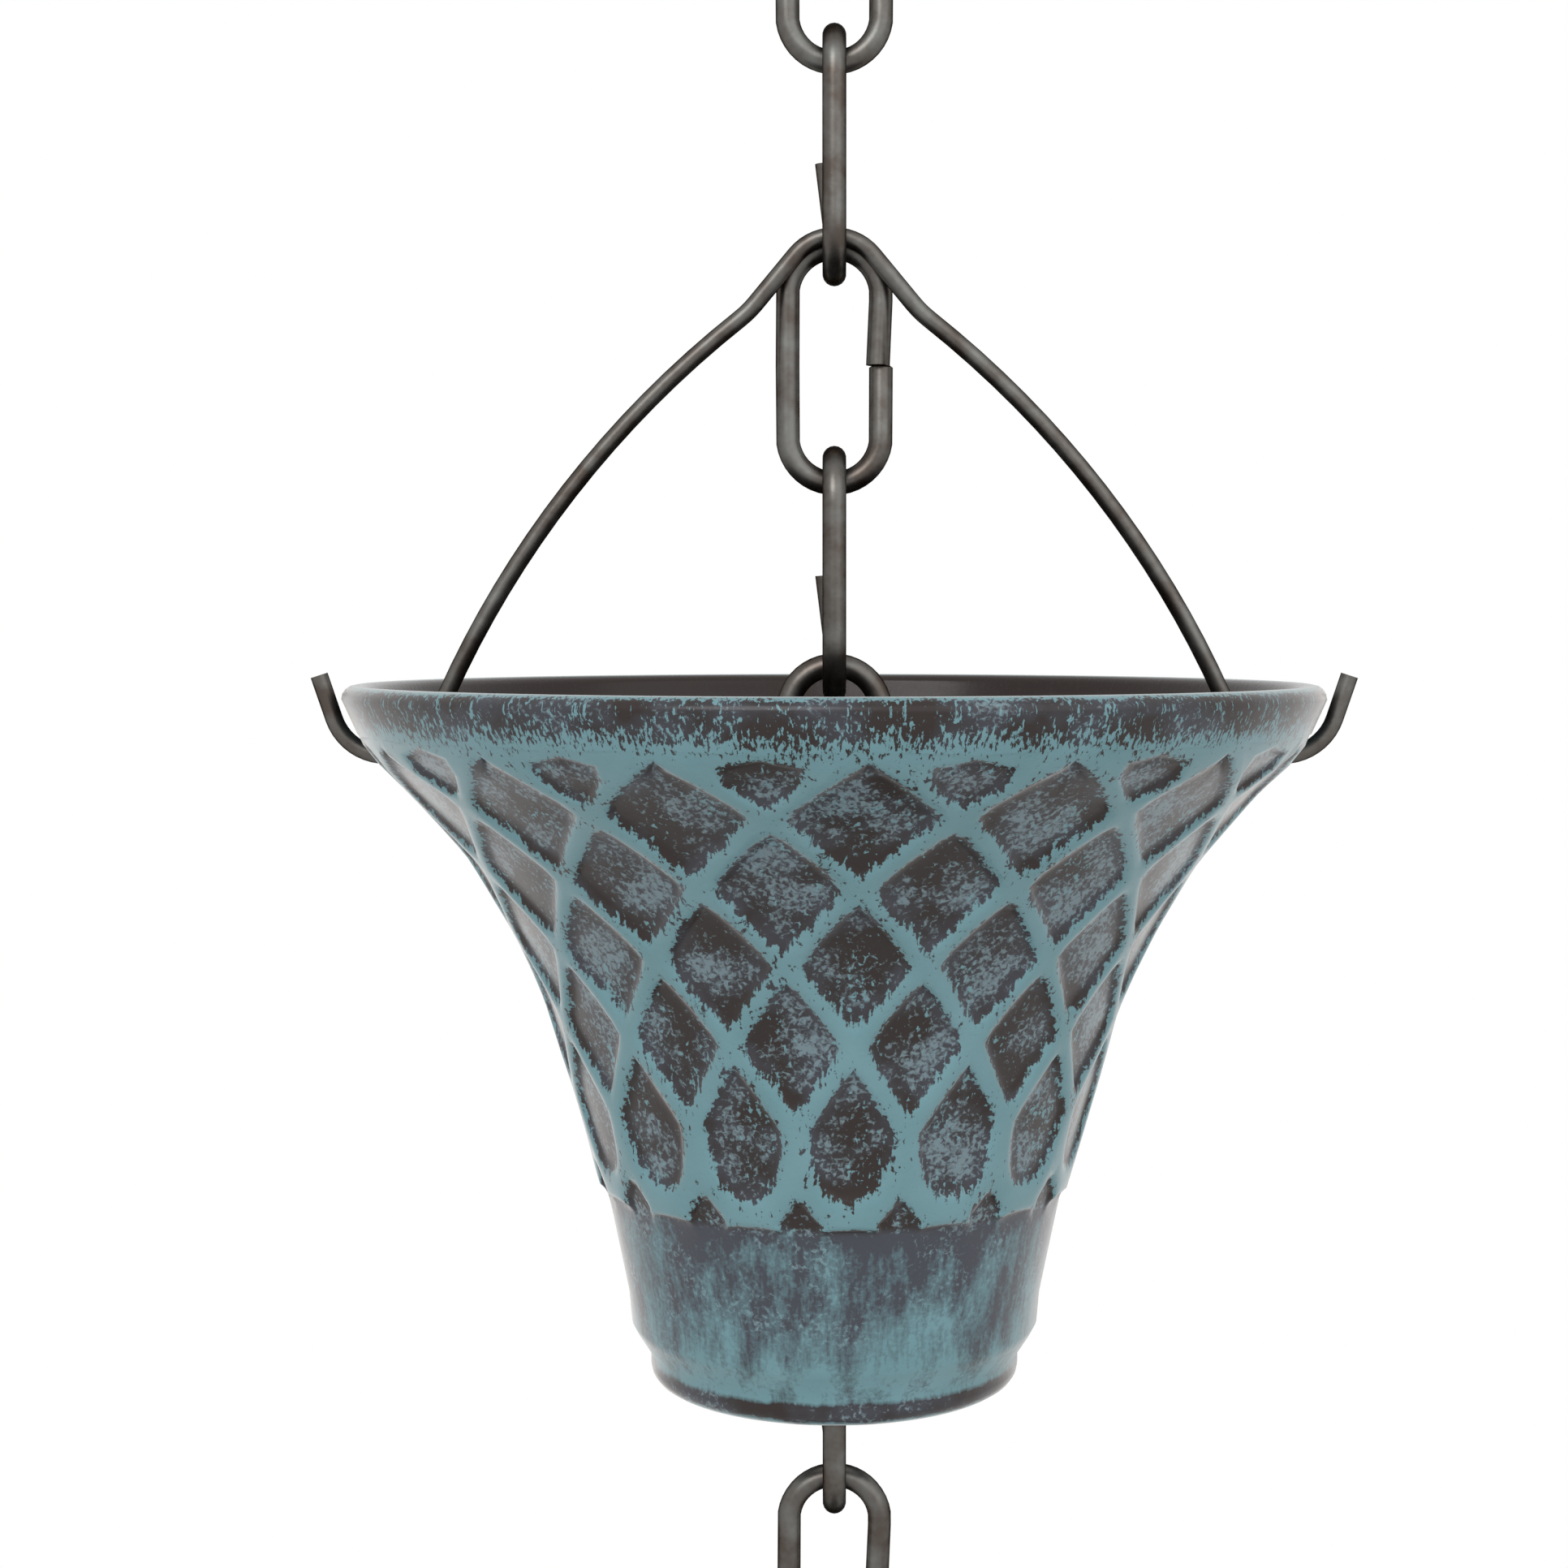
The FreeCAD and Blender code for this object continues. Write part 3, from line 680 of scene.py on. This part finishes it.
class LatticeCup:
    """The cups: one casting modelled from a flat sheet, and a copy of it for every cup of the chain."""

    def __init__(self, shape: CupShape, finish: BrushedVerdigris) -> None:
        """Takes the cup's sizes and its finish.

        Args:
            shape: The sizes.
            finish: The finish.
        """
        self.shape = shape
        self.finish = finish
        self.piece: bpy.types.Object | None = None

    def radius_ratio(self, station: float) -> float:
        """How much wider the cup is than the flat sheet takes it to be.

        Args:
            station: Where on the wall.

        Returns:
            The cup's radius there, over the sheet's.
        """
        return self.shape.at(station)[0] / self.shape.sheet_radius

    def model(self) -> None:
        """Models the casting, with its rim at height zero."""
        self.lattice_sheet()
        self.round_leaves()
        self.sink_pockets()
        self.soften()
        self.carry_on()
        self.wrap()
        self.pierce()

    def lattice_sheet(self) -> None:
        """A flat sheet of diamonds: a grid whose squares are poked and whose own lines are dissolved."""
        shape = self.shape
        columns, rows = shape.diamonds + 4, 4
        pitch = math.tau * shape.sheet_radius / shape.diamonds * MM
        rise = 2 * shape.row_rise * MM
        bpy.ops.object.select_all(action="DESELECT")
        bpy.ops.mesh.primitive_grid_add(x_subdivisions=columns, y_subdivisions=rows, size=1)
        self.piece = bpy.context.object
        self.piece.name = "cup_casting"
        bpy.ops.object.mode_set(mode="EDIT")
        bpy.ops.transform.resize(value=(columns * pitch, rows * rise, 1))
        centre = math.radians(shape.lattice_turn) * shape.sheet_radius * MM + pitch / 2
        middle = (shape.first_row + 2 * shape.row_rise) * MM
        bpy.ops.transform.translate(value=(centre, -middle, 0))
        bpy.ops.mesh.poke()
        select(self.piece, Pick.EDGES, self.is_grid_line)
        bpy.ops.mesh.dissolve_edges(use_verts=False)
        for height, way in ((-shape.sheet_top * MM, 1), (-shape.sheet_end * MM, -1)):
            bpy.ops.mesh.select_all(action="SELECT")
            bpy.ops.mesh.bisect(plane_co=(0, height, 0), plane_no=(0, way, 0), clear_outer=True)
        side = (columns / 2 - 0.1) * pitch
        low, high = -shape.sheet_end * MM + 1e-5, -shape.sheet_top * MM - 1e-5
        select(self.piece, Pick.POINTS, lambda v: low < v.co.y < high and abs(v.co.x - centre) < side)
        bpy.ops.mesh.bevel(offset=shape.knot_cut * MM, offset_pct=0, segments=1, affect="VERTICES")

    def round_leaves(self) -> None:
        """Draws the lower ends of the last diamonds out to the round ends of leaves."""
        shape = self.shape
        wide = shape.first_row + shape.leaf_row * shape.row_rise
        tip = wide + shape.row_rise
        pitch = math.tau * shape.sheet_radius / shape.diamonds
        column = math.radians(shape.lattice_turn) * shape.sheet_radius
        select(self.piece, Pick.EDGES, lambda e: all(
            wide + 0.1 < -self.piece.data.vertices[i].co.y / MM < tip - 0.1 for i in e.vertices)
            and self.span(e) > shape.row_rise / 2)
        bpy.ops.mesh.subdivide(number_cuts=1)
        select(self.piece, Pick.EDGES, lambda e: all(
            abs(-self.piece.data.vertices[i].co.y / MM - (wide + tip) / 2) < 0.3 for i in e.vertices))
        bpy.ops.mesh.dissolve_edges(use_verts=False)
        bpy.ops.object.mode_set(mode="OBJECT")
        for point in self.piece.data.vertices:
            down = -point.co.y / MM
            aside = (point.co.x / MM - column + pitch / 2) % pitch - pitch / 2
            away, drop = aside, down - wide
            if abs(down - (wide + tip) / 2) < 0.3:
                away, drop = math.copysign(shape.leaf_side[0], aside), shape.leaf_side[1]
            elif abs(aside) < 1.2 and 0.1 < abs(down - tip) < 1.2:
                rib = shape.leaf_rib if down > tip else 0.0
                away, drop = math.copysign(shape.leaf_end[0], aside), shape.leaf_end[1] + rib
            point.co.x += (away - aside) * MM
            point.co.y = -(wide + drop) * MM

    def span(self, edge: bpy.types.MeshEdge) -> float:
        """How far down the wall an edge of the flat sheet reaches.

        Args:
            edge: The edge.

        Returns:
            The reach, in millimetres.
        """
        a, b = ends(self.piece, edge)
        return abs(a.y - b.y) / MM

    def is_grid_line(self, edge: bpy.types.MeshEdge) -> bool:
        """Says whether an edge is one of the poked grid's own level and upright lines.

        Args:
            edge: The edge.

        Returns:
            True for a grid line, false for a rib.
        """
        a, b = ends(self.piece, edge)
        return abs(a.x - b.x) < SAME or abs(a.y - b.y) < SAME

    def sink_pockets(self) -> None:
        """Sinks each diamond row by row, so that the ribs keep their width where the cup narrows."""
        shape = self.shape
        half = shape.row_rise / 2
        under_halves = 0.6 * shape.first_row
        shares = {-1: shape.half_rib_share, shape.leaf_row: shape.leaf_rib_share}
        for row in range(-1, shape.leaf_row + 1):
            middle = shape.first_row + row * shape.row_rise
            low = {-1: -half, 0: under_halves}.get(row, middle - half)
            high = {-1: under_halves}.get(row, middle + half)
            taken = select(self.piece, Pick.FACES, lambda f: low <= -f.center.y / MM < high
                           and len(f.vertices) > (4 if row >= 0 else 3))
            ratio = self.radius_ratio(max(middle, 1.0))
            rib = shape.rib_width / 2 * math.sqrt(1 + ratio**2) / (math.sqrt(2) * ratio)
            border = shape.floor_border if row >= 0 else shape.half_floor_border
            self.sink(rib * shares.get(row, 1.0), border)
            log.info("lattice row %d: %d pockets", row, taken)
        low = shape.first_row + shape.leaf_row * shape.row_rise + half
        select(self.piece, Pick.FACES, lambda f: low <= -f.center.y / MM < shape.lattice_end
               and len(f.vertices) > 4)
        notch = low - half + shape.notch_drop
        bpy.ops.mesh.bisect(plane_co=(0, -notch * MM, 0), plane_no=(0, 1, 0))
        select(self.piece, Pick.FACES, lambda f: notch < -f.center.y / MM < shape.sheet_end - 2.5
               and len(f.vertices) > 4)
        self.sink(shape.leaf_rib, shape.notch_floor_border)
        for height in (shape.lattice_end, shape.skirt_start):
            bpy.ops.mesh.select_all(action="SELECT")
            bpy.ops.mesh.bisect(plane_co=(0, -height * MM, 0), plane_no=(0, 1, 0))
        bpy.ops.object.mode_set(mode="OBJECT")
        for point in self.piece.data.vertices:
            if -point.co.y > (shape.lattice_end + 0.1) * MM:
                point.co.z = -shape.relief * MM

    def sink(self, rib: float, floor: float) -> None:
        """Sinks the selected faces in three steps: the rib's rounded shoulder, its side and the hollow's floor.

        Args:
            rib: How far in the hollow's edge lies, in millimetres.
            floor: Width of the floor's own border, in millimetres.
        """
        steps = ((rib, 1), (self.shape.rib_side, 5), (floor, 1))
        for thickness, drop in steps:
            depth = -drop / sum(share for _, share in steps) * self.shape.relief
            bpy.ops.mesh.inset(thickness=thickness * MM, depth=depth * MM, use_individual=True)

    def soften(self) -> None:
        """Rounds the lattice's edges and corners once, and evens out the points of its borders."""
        select(self.piece, Pick.EDGES, self.is_long_border)
        bpy.ops.mesh.subdivide(number_cuts=1)
        apply_modifier(self.piece, "SUBSURF", levels=1, render_levels=1)

    def is_long_border(self, edge: bpy.types.MeshEdge) -> bool:
        """Says whether an edge is one of the longer ones along the sheet's upper and lower borders.

        Args:
            edge: The edge.

        Returns:
            True for a long edge of a border.
        """
        a, b = ends(self.piece, edge)
        borders = (-self.shape.sheet_top * MM, -self.shape.sheet_end * MM)
        level = any(abs(a.y - y) < SAME and abs(b.y - y) < SAME for y in borders)
        return level and abs(a.x - b.x) > 6 * MM

    def carry_on(self) -> None:
        """Extrudes the sheet's upper edge over the rim to the drain and its lower edge down to the foot."""
        shape = self.shape
        runs = (
            (-shape.sheet_top * MM, [-s for s in shape.corners(shape.up, shape.inside_step)]),
            (-shape.sheet_end * MM, [
                s for s in shape.corners(shape.down, shape.outside_step) if s > shape.sheet_end + 0.5]),
        )
        foot = shape.foot_station
        for border, stations in runs:
            select(self.piece, Pick.EDGES, lambda e: all(
                abs(end.y - border) < SAME for end in ends(self.piece, e)))
            last = border
            depth = 0.0 if border > 0 else -shape.relief * MM
            for station in stations:
                wanted = -shape.relief * MM if shape.skirt_start < station < foot + 0.01 else 0.0
                step = (0, -station * MM - last, wanted - depth)
                bpy.ops.mesh.extrude_edges_move(TRANSFORM_OT_translate={"value": step})
                last, depth = -station * MM, wanted
        half = math.pi * shape.sheet_radius * MM
        for way in (-1, 1):
            bpy.ops.mesh.select_all(action="SELECT")
            bpy.ops.mesh.bisect(plane_co=(way * half, 0, 0), plane_no=(way, 0, 0), clear_outer=True)
        bpy.ops.object.mode_set(mode="OBJECT")

    def wrap(self) -> None:
        """Wraps the flat sheet round the cup and notes each point's station and relief for the paint."""
        shape = self.shape
        mesh = self.piece.data
        relief = mesh.attributes.new("relief", "FLOAT", "POINT")
        station = mesh.attributes.new("station", "FLOAT", "POINT")
        for index, point in enumerate(mesh.vertices):
            turn = point.co.x / (shape.sheet_radius * MM)
            down, height = -point.co.y / MM, point.co.z / MM
            radius, level, out, up = shape.at(down)
            radius += out * height
            fade = min(max((down - shape.skirt_start) / shape.skirt_fade, 0), 1)
            relief.data[index].value = min(max(-height / shape.relief, 0), 1) * (1 - fade)
            station.data[index].value = down
            point.co = Vector((radius * math.sin(turn), -radius * math.cos(turn), level + up * height)) * MM
        bpy.ops.object.mode_set(mode="EDIT")
        bpy.ops.mesh.select_mode(type=Pick.POINTS.value)
        bpy.ops.mesh.select_all(action="SELECT")
        bpy.ops.mesh.remove_doubles(threshold=0.01 * MM)
        self.close_drain()
        bpy.ops.mesh.select_all(action="SELECT")
        bpy.ops.mesh.normals_make_consistent(inside=False)
        bpy.ops.object.mode_set(mode="OBJECT")

    def close_drain(self) -> None:
        """Joins the floor's upper and lower edges round the drain."""
        bpy.ops.mesh.select_all(action="DESELECT")
        bpy.ops.mesh.select_mode(type=Pick.EDGES.value)
        bpy.ops.mesh.select_non_manifold(extend=False)
        bpy.ops.mesh.bridge_edge_loops()

    def pierce(self) -> None:
        """Drills the two holes that the bail's ends hang in, and notes the stations of their edges."""
        shape = self.shape
        bpy.ops.object.select_all(action="DESELECT")
        bpy.ops.mesh.primitive_cylinder_add(
            vertices=shape.hole_points, radius=shape.hole_radius * MM, depth=2.4 * shape.rim_radius * MM,
            location=(0, 0, -shape.hole_depth * MM), rotation=(0, math.pi / 2, 0))
        drill = bpy.context.object
        bpy.ops.object.select_all(action="DESELECT")
        bpy.context.view_layer.objects.active = self.piece
        self.piece.select_set(True)
        apply_modifier(self.piece, "BOOLEAN", operation="DIFFERENCE", object=drill, solver="EXACT")
        bpy.data.objects.remove(drill)
        bpy.ops.object.shade_smooth_by_angle(angle=math.radians(40))
        station = self.piece.data.attributes["station"]
        for index, point in enumerate(self.piece.data.vertices):
            place = point.co / MM
            if math.hypot(place.y, place.z + shape.hole_depth) <= shape.hole_radius + 0.01:
                station.data[index].value = shape.station_near(math.hypot(place.x, place.y), place.z)

    def hang(self) -> None:
        """Puts a copy of the casting in every cup's place."""
        material = self.finish.material(self.shape)
        dress(self.piece, material)
        cups = sorted(n for n in frame["nodes"] if n.startswith("cup_"))
        for name in cups:
            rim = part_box(name)[1][2]
            copy = bpy.data.objects.new(f"{name}_casting", self.piece.data.copy())
            copy.data.transform(Matrix.Translation((0, 0, rim)))
            bpy.context.collection.objects.link(copy)
            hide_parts(name)
            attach(copy, frame["nodes"][name]["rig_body"])
            log.info("%s: %d faces", copy.name, len(copy.data.polygons))
        bpy.data.objects.remove(self.piece)


@dataclass
class LinkShape:
    """A chain link's sizes and its place in the chain, in millimetres."""

    wire: float = 2.3
    reach: float = 20.15
    gap: float = 6.7
    pitch: float = 20.0
    first_centre: float = -62.425
    groove: float = 0.08
    groove_depth: float = 0.25
    step_in: float = 0.3
    step_aside: float = 0.75
    step_run: float = 6.2
    round_points: int = 18
    turn_points: int = 44


class ChainLinks:
    """The links of the chain: one bent and butted oval of wire, copied and turned for each place."""

    def __init__(self, shape: LinkShape, finish: BlackenedWire) -> None:
        """Takes a link's sizes and its finish.

        Args:
            shape: The sizes.
            finish: The finish.
        """
        self.shape = shape
        self.finish = finish
        self.piece: bpy.types.Object | None = None

    def model(self) -> None:
        """Models one link upright at the origin: a ring drawn out to an oval, with a butted joint in one limb."""
        shape = self.shape
        arc = (shape.gap + shape.wire) / 2
        drawn = (shape.reach - shape.gap) / 2
        bpy.ops.object.select_all(action="DESELECT")
        bpy.ops.mesh.primitive_torus_add(
            major_radius=arc * MM, minor_radius=shape.wire / 2 * MM, major_segments=shape.turn_points,
            minor_segments=shape.round_points, rotation=(math.pi / 2, 0, 0))
        self.piece = bpy.context.object
        self.piece.name = "link_wire"
        bpy.ops.object.transform_apply(location=False, rotation=True, scale=False)
        for way in (-1, 1):
            select(self.piece, Pick.POINTS, lambda v: v.co.z * way > 0.01 * MM)
            bpy.ops.transform.translate(value=(0, 0, way * drawn * MM))
        self.butt(arc)
        bpy.ops.object.mode_set(mode="OBJECT")
        bpy.ops.object.shade_smooth_by_angle(angle=math.radians(50))
        dress(self.piece, self.finish.material())

    def butt(self, arc: float) -> None:
        """Cuts the joint of the limb: a fine groove, one end sprung inward and the other aside.

        Args:
            arc: Radius of the wire's middle round a crown.
        """
        shape = self.shape
        for height in (-shape.step_run, -shape.groove, shape.groove, shape.step_run):
            bpy.ops.mesh.select_all(action="SELECT")
            bpy.ops.mesh.bisect(plane_co=(0, 0, height * MM), plane_no=(0, 0, 1), threshold=0.001 * MM)
        select(self.piece, Pick.POINTS, lambda v: v.co.x > 0 and abs(v.co.z) < shape.groove / 2 * MM)
        share = 1 - 2 * shape.groove_depth / shape.wire
        bpy.ops.transform.resize(value=(share, share, 1), center_override=(arc * MM, 0, 0))
        select(self.piece, Pick.POINTS, lambda v: v.co.x > 0 and 0.5 < v.co.z / (shape.groove * MM) < 2)
        bpy.ops.transform.translate(value=(-shape.step_in * MM, 0, 0))
        select(self.piece, Pick.POINTS, lambda v: v.co.x > 0 and -2 < v.co.z / (shape.groove * MM) < -0.5)
        bpy.ops.transform.translate(value=(0, shape.step_aside * MM, 0))

    def hang(self) -> None:
        """Copies the link to every place in the chain, face-on and edge-on by turns."""
        for name in sorted(n for n in frame["nodes"] if "_link_" in n or "_chain_" in n):
            self.string(name)
        bpy.data.objects.remove(self.piece)

    def string(self, name: str) -> None:
        """Strings the links of one CAD node.

        Args:
            name: The node of a single link or of several that go on one below the other.
        """
        shape = self.shape
        low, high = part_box(name)
        half = shape.reach / 2 + shape.wire
        count = round(((high[2] - low[2]) / MM - 2 * half) / shape.pitch) + 1
        bpy.ops.object.select_all(action="DESELECT")
        for index in range(count):
            centre = high[2] / MM - half - index * shape.pitch
            number = round((shape.first_centre - centre) / shape.pitch)
            turn = 0 if number % 2 else math.pi / 2
            copy = bpy.data.objects.new(f"{name}_wire", self.piece.data.copy())
            copy.data.transform(Matrix.Translation((0, 0, centre * MM)) @ Matrix.Rotation(turn, 4, "Z"))
            bpy.context.collection.objects.link(copy)
            bpy.context.view_layer.objects.active = copy
            copy.select_set(True)
        if count > 1:
            bpy.ops.object.join()
        strung = bpy.context.view_layer.objects.active
        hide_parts(name)
        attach(strung, frame["nodes"][name]["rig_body"])
        log.info("%s: %d links", strung.name, count)


class Wirework:
    """The hook, bails and ring, which keep their CAD solids."""

    def __init__(self, finish: BlackenedWire) -> None:
        """Takes the wire's finish.

        Args:
            finish: The finish.
        """
        self.finish = finish

    def dress(self) -> None:
        """Blackens every wire piece, the links' CAD solids among them."""
        material = self.finish.material()
        for name, node in frame["nodes"].items():
            if not name.startswith("cup_") and name != "glass_drop":
                dress(node, material)
                log.info("%s: blackened wire", name)


class Drop:
    """The faceted glass drop, which keeps its CAD solid."""

    def __init__(self, finish: AmberGlass) -> None:
        """Takes the glass.

        Args:
            finish: The finish.
        """
        self.finish = finish

    def dress(self) -> None:
        """Makes the drop of amber glass."""
        dress(frame["nodes"]["glass_drop"], self.finish.material())
        log.info("glass_drop: amber glass")


@dataclass
class Studio:
    """A pale floor under the hanging chain, soft light and the camera, in metres, degrees and photo pixels."""

    picture: float = 1932.0
    axis_column: float = 1028.0
    horizon_row: float = 768.0
    focal_pixels: float = 3146.0
    distance: float = 0.2478
    above_rim: float = 0.0058
    sensor: float = 36.0
    floor_gap: float = 0.04
    floor_radius: float = 3.0
    ambient: float = 0.55
    key: float = 1.5
    key_turn: tuple[float, float, float] = (56.0, 0.0, -18.0)
    key_spread: float = 34.0
    fill: float = 0.7
    fill_turn: tuple[float, float, float] = (66.0, 0.0, 40.0)
    fill_spread: float = 60.0

    def build(self) -> None:
        """Sets up world, floor, lights and camera."""
        self.world()
        self.floor()
        self.sun("key_light", self.key, self.key_turn, self.key_spread)
        self.sun("fill_light", self.fill, self.fill_turn, self.fill_spread)
        self.camera()
        bpy.context.scene.view_settings.view_transform = "Standard"

    def world(self) -> None:
        """White behind the chain and in its reflections, and a plain soft light on it."""
        world = bpy.data.worlds.new("white_studio")
        bpy.context.scene.world = world
        world.use_nodes = True
        tree = world.node_tree
        back = next(n for n in tree.nodes if n.type == "BACKGROUND")
        path = add(tree, "ShaderNodeLightPath")
        seen = add(tree, "ShaderNodeMath", {
            0: path.outputs["Is Camera Ray"], 1: path.outputs["Is Transmission Ray"]}, operation="MAXIMUM")
        mirrored = add(tree, "ShaderNodeMath", {
            0: seen.outputs[0], 1: path.outputs["Is Glossy Ray"]}, operation="MAXIMUM")
        level = add(tree, "ShaderNodeMapRange", {
            "Value": mirrored.outputs[0], "To Min": self.ambient, "To Max": 1.0})
        back.inputs["Color"].default_value = (1, 1, 1, 1)
        tree.links.new(level.outputs[0], back.inputs["Strength"])

    def floor(self) -> None:
        """A pale disc below the drop."""
        low = cad_box[0][2] - self.floor_gap
        bpy.ops.object.select_all(action="DESELECT")
        bpy.ops.mesh.primitive_circle_add(
            vertices=96, radius=self.floor_radius, fill_type="NGON", location=(0, 0, low))
        disc = bpy.context.object
        disc.name = "pale_floor"
        made, tree, shader = new_material("pale_floor")
        place = add(tree, "ShaderNodeTexCoord").outputs["Object"]
        mottle = add(tree, "ShaderNodeTexNoise", {"Vector": place, "Scale": 1.5, "Detail": 2.0})
        colour = add(tree, "ShaderNodeMix", {
            "Factor": mottle.outputs["Fac"], "A": linear("#F7F7F6"), "B": linear("#FAFAFA")}, data_type="RGBA")
        tree.links.new(colour.outputs["Result"], shader.inputs["Base Color"])
        shader.inputs["Roughness"].default_value = 0.8
        dress(disc, made)

    def sun(self, name: str, strength: float, turn: tuple[float, float, float], spread: float) -> None:
        """Adds a soft light that falls alike on the whole length of the chain.

        Args:
            name: The light's name.
            strength: Its irradiance.
            turn: Its direction, as turns about X, Y and Z in degrees.
            spread: The angle in degrees that it seems to fill, which softens its shadows.
        """
        light = bpy.data.lights.new(name, "SUN")
        light.energy = strength
        light.angle = math.radians(spread)
        lamp = bpy.data.objects.new(name, light)
        lamp.rotation_euler = tuple(math.radians(angle) for angle in turn)
        bpy.context.collection.objects.link(lamp)

    def camera(self) -> None:
        """Looks at the first cup as the close-up does, a little down from just above its rim."""
        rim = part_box("cup_01")[1][2]
        data = bpy.data.cameras.new("camera")
        data.sensor_width = self.sensor
        data.lens = self.focal_pixels / self.picture * self.sensor
        data.shift_x = (self.picture / 2 - self.axis_column) / self.picture
        data.clip_start = 0.01
        camera = bpy.data.objects.new("camera", data)
        camera.location = (0, -self.distance, rim + self.above_rim)
        tilt = math.atan((self.picture / 2 - self.horizon_row) / self.focal_pixels)
        camera.rotation_euler = (math.pi / 2 - tilt, 0, 0)
        bpy.context.collection.objects.link(camera)
        bpy.context.scene.camera = camera


def main() -> None:
    """Builds and dresses the rain chain."""
    logging.basicConfig(level=logging.INFO, format="%(name)s: %(message)s")
    cups = LatticeCup(CupShape(), BrushedVerdigris())
    cups.model()
    cups.hang()
    links = ChainLinks(LinkShape(), BlackenedWire())
    links.model()
    links.hang()
    Wirework(BlackenedWire()).dress()
    Drop(AmberGlass()).dress()
    Studio().build()


if __name__ == "__main__":
    main()
